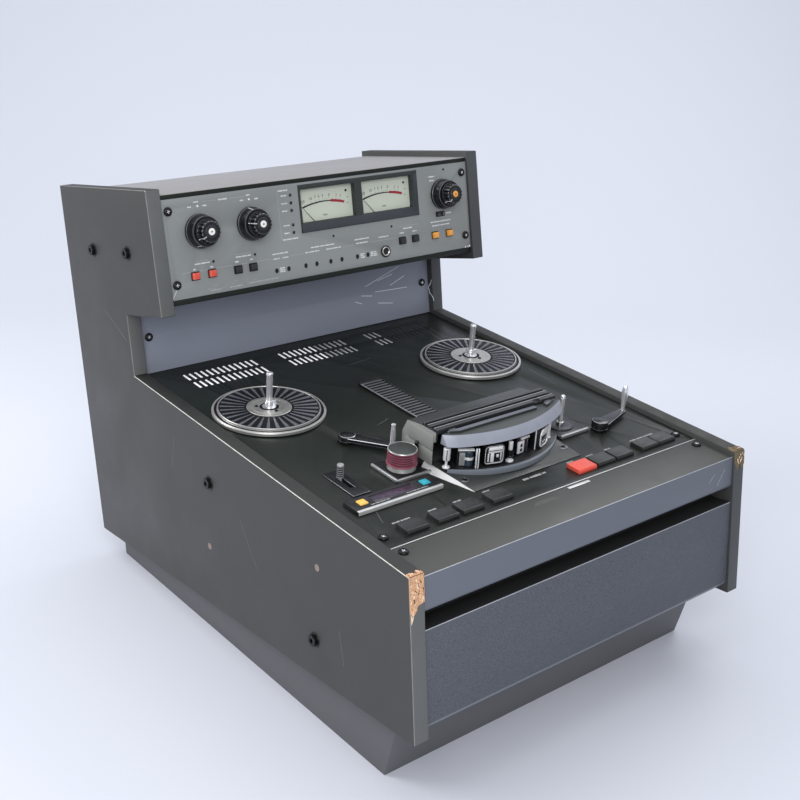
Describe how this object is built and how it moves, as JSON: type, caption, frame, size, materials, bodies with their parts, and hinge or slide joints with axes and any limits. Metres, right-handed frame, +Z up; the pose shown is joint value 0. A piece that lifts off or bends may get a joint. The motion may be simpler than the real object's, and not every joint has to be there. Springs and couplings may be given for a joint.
{
  "type": "reel-to-reel tape recorder",
  "caption": "Reel-to-reel tape recorder with a sloping deck, reel tables, covered heads, transport keys and a metered overbridge between stepped side panels on a wedge plinth.",
  "frame": {"origin": "middle of the whole part's footprint, on the floor that the plinth stands on", "axes": "+X to the right as seen from the front, +Y from the front to the rear, +Z up"},
  "size_m": [0.531, 0.7692, 0.5599],
  "materials": {
    "side_laminate": "dark grey laminate on board",
    "plinth_board": "dark grey painted board",
    "textured_paint": "fine textured paint",
    "blue_grey_paint": "satin paint",
    "deck_paint": "matt paint",
    "light_grey_paint": "satin paint",
    "dark_paint": "satin paint",
    "panel_paint": "satin paint",
    "circuit_board": "coated board",
    "bezel_plastic": "satin",
    "black_screw": "black oxide",
    "brushed_plate": "dark brushed",
    "head_paint": "satin paint",
    "splice_metal": "dark anodised",
    "head_chrome": "polished",
    "black_plastic": "moulded",
    "motor_steel": "plated",
    "needle_black": "matt",
    "red_plastic": "moulded",
    "button_plastic": "moulded",
    "orange_plastic": "moulded",
    "turned_aluminium": "turned",
    "arm_paint": "black paint",
    "red_roller": "satin",
    "capstan_steel": "ground",
    "pinch_rubber": "ground",
    "visor_paint": "satin paint",
    "knob_plastic": "moulded",
    "yellow_plastic": "moulded",
    "cyan_plastic": "moulded",
    "key_plastic": "moulded",
    "red_key_plastic": "moulded"
  },
  "bodies": {
    "case": {"left_side_panel": "side_laminate", "right_side_panel": "side_laminate", "plinth": "plinth_board", "front_panel": "textured_paint", "front_apron": "blue_grey_paint", "deck_plate": "deck_paint", "riser_panel": "blue_grey_paint", "top_cover": "light_grey_paint", "rear_panel": "dark_paint", "electronics_panel": "panel_paint", "power_and_audio_boards": "circuit_board", "meter_bezel": "bezel_plastic", "fasteners": "black_screw", "transport_plates": "brushed_plate", "head_base": "head_paint", "head_housing": "head_paint", "splicing_block": "splice_metal", "tape_heads": "head_chrome", "cable_duct": "black_plastic", "counter_housing": "black_plastic", "sockets": "black_plastic", "transport_motors": "motor_steel"},
    "left_meter_needle": {"left_meter_needle": "needle_black"},
    "right_meter_needle": {"right_meter_needle": "needle_black"},
    "first_input_outer_knob": {"first_input_outer_knob": "knob_plastic"},
    "first_input_inner_knob": {"first_input_inner_knob": "knob_plastic"},
    "second_input_outer_knob": {"second_input_outer_knob": "knob_plastic"},
    "second_input_inner_knob": {"second_input_inner_knob": "knob_plastic"},
    "output_outer_knob": {"output_outer_knob": "knob_plastic"},
    "output_inner_knob": {"output_inner_knob": "knob_plastic"},
    "red_button_left": {"red_button_left": "red_plastic"},
    "red_button_right": {"red_button_right": "red_plastic"},
    "input_button_left": {"input_button_left": "button_plastic"},
    "input_button_right": {"input_button_right": "button_plastic"},
    "monitor_button_left": {"monitor_button_left": "button_plastic"},
    "monitor_button_right": {"monitor_button_right": "button_plastic"},
    "orange_button_left": {"orange_button_left": "orange_plastic"},
    "orange_button_right": {"orange_button_right": "orange_plastic"},
    "panel_slide_switch": {"panel_slide_switch": "button_plastic"},
    "left_reel_table": {"left_reel_table": "turned_aluminium"},
    "right_reel_table": {"right_reel_table": "turned_aluminium"},
    "left_tension_arm": {"left_tension_arm": "arm_paint"},
    "right_tension_arm": {"right_tension_arm": "arm_paint"},
    "counter_roller": {"counter_roller": "red_roller"},
    "capstan": {"capstan": "capstan_steel"},
    "pinch_arm": {"pinch_arm": "arm_paint"},
    "pinch_roller": {"pinch_roller": "pinch_rubber"},
    "head_visor": {"head_visor": "visor_paint"},
    "cue_lever": {"cue_lever": "knob_plastic"},
    "counter_reset_button": {"counter_reset_button": "yellow_plastic"},
    "counter_mode_button": {"counter_mode_button": "cyan_plastic"},
    "edit_key": {"edit_key": "key_plastic"},
    "cue_key": {"cue_key": "key_plastic"},
    "speed_key": {"speed_key": "key_plastic"},
    "reel_size_key": {"reel_size_key": "key_plastic"},
    "record_key": {"record_key": "red_key_plastic"},
    "rewind_key": {"rewind_key": "key_plastic"},
    "forward_key": {"forward_key": "key_plastic"},
    "stop_key": {"stop_key": "key_plastic"},
    "play_key": {"play_key": "key_plastic"}
  },
  "joints": [
    {"name": "left_needle_swing", "type": "hinge", "parent": "case", "child": "left_meter_needle", "pos_m": [0.003, 0.13108, 0.46812], "axis": [0, 0.9862, -0.1653], "range_deg": [0, 83], "stiffness_Nm_per_rad": 0.0001, "springref_deg": -5.73},
    {"name": "right_needle_swing", "type": "hinge", "parent": "case", "child": "right_meter_needle", "pos_m": [0.101, 0.13108, 0.46812], "axis": [0, 0.9862, -0.1653], "range_deg": [0, 83], "stiffness_Nm_per_rad": 0.0001, "springref_deg": -5.73},
    {"name": "first_input_outer_turn", "type": "hinge", "parent": "case", "child": "first_input_outer_knob", "pos_m": [-0.1925, 0.12649, 0.50488], "axis": [0, -0.9862, 0.1653], "range_deg": [-150, 150]},
    {"name": "first_input_inner_turn", "type": "hinge", "parent": "case", "child": "first_input_inner_knob", "pos_m": [-0.1925, 0.10973, 0.50769], "axis": [0, -0.9862, 0.1653], "range_deg": [-150, 150]},
    {"name": "second_input_outer_turn", "type": "hinge", "parent": "case", "child": "second_input_outer_knob", "pos_m": [-0.1195, 0.12649, 0.50488], "axis": [0, -0.9862, 0.1653], "range_deg": [-150, 150]},
    {"name": "second_input_inner_turn", "type": "hinge", "parent": "case", "child": "second_input_inner_knob", "pos_m": [-0.1195, 0.10973, 0.50769], "axis": [0, -0.9862, 0.1653], "range_deg": [-150, 150]},
    {"name": "output_outer_turn", "type": "hinge", "parent": "case", "child": "output_outer_knob", "pos_m": [0.1945, 0.12682, 0.50685], "axis": [0, -0.9862, 0.1653], "range_deg": [-150, 150]},
    {"name": "output_inner_turn", "type": "hinge", "parent": "case", "child": "output_inner_knob", "pos_m": [0.1945, 0.11006, 0.50966], "axis": [0, -0.9862, 0.1653], "range_deg": [-150, 150]},
    {"name": "red_button_left_push", "type": "slide", "parent": "case", "child": "red_button_left", "axis": [0, 0.9862, -0.1653], "range_m": [0, 0.003], "stiffness_N_per_m": 600, "springref_m": -0.002},
    {"name": "red_button_right_push", "type": "slide", "parent": "case", "child": "red_button_right", "axis": [0, 0.9862, -0.1653], "range_m": [0, 0.003], "stiffness_N_per_m": 600, "springref_m": -0.002},
    {"name": "input_button_left_push", "type": "slide", "parent": "case", "child": "input_button_left", "axis": [0, 0.9862, -0.1653], "range_m": [0, 0.003], "stiffness_N_per_m": 600, "springref_m": -0.002},
    {"name": "input_button_right_push", "type": "slide", "parent": "case", "child": "input_button_right", "axis": [0, 0.9862, -0.1653], "range_m": [0, 0.003], "stiffness_N_per_m": 600, "springref_m": -0.002},
    {"name": "monitor_button_left_push", "type": "slide", "parent": "case", "child": "monitor_button_left", "axis": [0, 0.9862, -0.1653], "range_m": [0, 0.003], "stiffness_N_per_m": 600, "springref_m": -0.002},
    {"name": "monitor_button_right_push", "type": "slide", "parent": "case", "child": "monitor_button_right", "axis": [0, 0.9862, -0.1653], "range_m": [0, 0.003], "stiffness_N_per_m": 600, "springref_m": -0.002},
    {"name": "orange_button_left_push", "type": "slide", "parent": "case", "child": "orange_button_left", "axis": [0, 0.9862, -0.1653], "range_m": [0, 0.003], "stiffness_N_per_m": 600, "springref_m": -0.002},
    {"name": "orange_button_right_push", "type": "slide", "parent": "case", "child": "orange_button_right", "axis": [0, 0.9862, -0.1653], "range_m": [0, 0.003], "stiffness_N_per_m": 600, "springref_m": -0.002},
    {"name": "panel_switch_slide", "type": "slide", "parent": "case", "child": "panel_slide_switch", "axis": [1, 0, 0], "range_m": [0, 0.008]},
    {"name": "left_reel_spin", "type": "hinge", "parent": "case", "child": "left_reel_table", "pos_m": [-0.1655, 0.025, 0.29844], "axis": [0, -0.0598, 0.9982], "continuous": true},
    {"name": "right_reel_spin", "type": "hinge", "parent": "case", "child": "right_reel_table", "pos_m": [0.1655, 0.025, 0.29844], "axis": [0, -0.0598, 0.9982], "continuous": true},
    {"name": "left_arm_swing", "type": "hinge", "parent": "case", "child": "left_tension_arm", "pos_m": [-0.1305, -0.08979, 0.29156], "axis": [0, 0.0598, -0.9982], "range_deg": [0, 35], "stiffness_Nm_per_rad": 0.03, "springref_deg": -8.59},
    {"name": "right_arm_swing", "type": "hinge", "parent": "case", "child": "right_tension_arm", "pos_m": [0.157, -0.22704, 0.28333], "axis": [0, -0.0598, 0.9982], "range_deg": [0, 40], "stiffness_Nm_per_rad": 0.03, "springref_deg": -8.59},
    {"name": "counter_roller_spin", "type": "hinge", "parent": "case", "child": "counter_roller", "pos_m": [-0.1195, -0.18023, 0.29615], "axis": [0, -0.0598, 0.9982], "continuous": true},
    {"name": "capstan_spin", "type": "hinge", "parent": "case", "child": "capstan", "pos_m": [0.118, -0.1975, 0.30012], "axis": [0, -0.0598, 0.9982], "continuous": true},
    {"name": "pinch_arm_swing", "type": "hinge", "parent": "case", "child": "pinch_arm", "pos_m": [0.132, -0.15685, 0.29054], "axis": [0, -0.0598, 0.9982], "range_deg": [0, 15], "stiffness_Nm_per_rad": 0.05, "springref_deg": -5.73},
    {"name": "pinch_roller_spin", "type": "hinge", "parent": "pinch_arm", "child": "pinch_roller", "pos_m": [0.1, -0.17971, 0.3042], "axis": [0, -0.0598, 0.9982], "continuous": true},
    {"name": "head_visor_lift", "type": "hinge", "parent": "case", "child": "head_visor", "pos_m": [0, -0.2128, 0.32976], "axis": [-1, 0, 0], "range_deg": [0, 75]},
    {"name": "cue_lever_slide", "type": "slide", "parent": "case", "child": "cue_lever", "axis": [0, -0.9982, -0.0598], "range_m": [0, 0.022]},
    {"name": "counter_reset_button_push", "type": "slide", "parent": "case", "child": "counter_reset_button", "axis": [0, 0.0598, -0.9982], "range_m": [0, 0.002], "stiffness_N_per_m": 600, "springref_m": -0.002},
    {"name": "counter_mode_button_push", "type": "slide", "parent": "case", "child": "counter_mode_button", "axis": [0, 0.0598, -0.9982], "range_m": [0, 0.002], "stiffness_N_per_m": 600, "springref_m": -0.002},
    {"name": "edit_key_press", "type": "slide", "parent": "case", "child": "edit_key", "axis": [0, 0.0598, -0.9982], "range_m": [0, 0.003], "stiffness_N_per_m": 900, "springref_m": -0.002},
    {"name": "cue_key_press", "type": "slide", "parent": "case", "child": "cue_key", "axis": [0, 0.0598, -0.9982], "range_m": [0, 0.003], "stiffness_N_per_m": 900, "springref_m": -0.002},
    {"name": "speed_key_press", "type": "slide", "parent": "case", "child": "speed_key", "axis": [0, 0.0598, -0.9982], "range_m": [0, 0.003], "stiffness_N_per_m": 900, "springref_m": -0.002},
    {"name": "reel_size_key_press", "type": "slide", "parent": "case", "child": "reel_size_key", "axis": [0, 0.0598, -0.9982], "range_m": [0, 0.003], "stiffness_N_per_m": 900, "springref_m": -0.002},
    {"name": "record_key_press", "type": "slide", "parent": "case", "child": "record_key", "axis": [0, 0.0598, -0.9982], "range_m": [0, 0.003], "stiffness_N_per_m": 900, "springref_m": -0.002},
    {"name": "rewind_key_press", "type": "slide", "parent": "case", "child": "rewind_key", "axis": [0, 0.0598, -0.9982], "range_m": [0, 0.003], "stiffness_N_per_m": 900, "springref_m": -0.002},
    {"name": "forward_key_press", "type": "slide", "parent": "case", "child": "forward_key", "axis": [0, 0.0598, -0.9982], "range_m": [0, 0.003], "stiffness_N_per_m": 900, "springref_m": -0.002},
    {"name": "stop_key_press", "type": "slide", "parent": "case", "child": "stop_key", "axis": [0, 0.0598, -0.9982], "range_m": [0, 0.003], "stiffness_N_per_m": 900, "springref_m": -0.002},
    {"name": "play_key_press", "type": "slide", "parent": "case", "child": "play_key", "axis": [0, 0.0598, -0.9982], "range_m": [0, 0.003], "stiffness_N_per_m": 900, "springref_m": -0.002}
  ]
}
